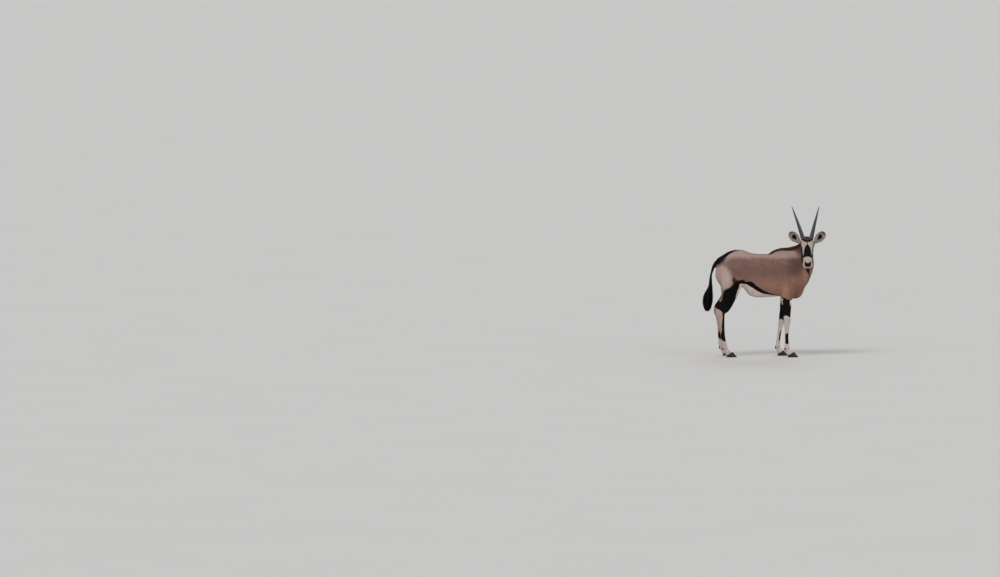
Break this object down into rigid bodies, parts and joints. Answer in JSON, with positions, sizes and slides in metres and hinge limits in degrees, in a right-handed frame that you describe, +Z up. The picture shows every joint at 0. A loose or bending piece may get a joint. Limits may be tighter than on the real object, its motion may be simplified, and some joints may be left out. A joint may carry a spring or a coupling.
{
  "type": "gemsbok model",
  "caption": "Life-size still model of a gemsbok standing side on, head turned to look over its right shoulder, with long straight ringed horns.",
  "frame": {"origin": "floor point below the middle of the bounding box", "axes": "+X towards the chest, +Y towards the animal's left side, +Z up"},
  "size_m": [1.316, 0.7484, 1.6004],
  "materials": {
    "coat": "short fur",
    "dark_coat": "black fur",
    "pale_coat": "white fur",
    "horn": "ringed horn sheath",
    "hoof": "worn hoof horn",
    "eye": "wet gloss"
  },
  "bodies": {
    "root": {"torso": "coat", "neck": "coat", "tail": "dark_coat", "tail_tuft": "dark_coat", "head": "coat", "eye_right": "eye", "horn_right": "horn", "ear_right": "pale_coat", "eye_left": "eye", "horn_left": "horn", "ear_left": "pale_coat", "fore_right_forearm": "dark_coat", "fore_right_cannon": "pale_coat", "fore_right_pastern": "pale_coat", "fore_right_claw_outer": "hoof", "fore_right_dewclaw_outer": "hoof", "fore_right_claw_inner": "hoof", "fore_right_dewclaw_inner": "hoof", "fore_left_forearm": "dark_coat", "fore_left_cannon": "pale_coat", "fore_left_pastern": "pale_coat", "fore_left_claw_outer": "hoof", "fore_left_dewclaw_outer": "hoof", "fore_left_claw_inner": "hoof", "fore_left_dewclaw_inner": "hoof", "hind_right_thigh": "dark_coat", "hind_right_cannon": "pale_coat", "hind_right_pastern": "pale_coat", "hind_right_claw_outer": "hoof", "hind_right_dewclaw_outer": "hoof", "hind_right_claw_inner": "hoof", "hind_right_dewclaw_inner": "hoof", "hind_left_thigh": "dark_coat", "hind_left_cannon": "pale_coat", "hind_left_pastern": "pale_coat", "hind_left_claw_outer": "hoof", "hind_left_dewclaw_outer": "hoof", "hind_left_claw_inner": "hoof", "hind_left_dewclaw_inner": "hoof"}
  },
  "joints": []
}
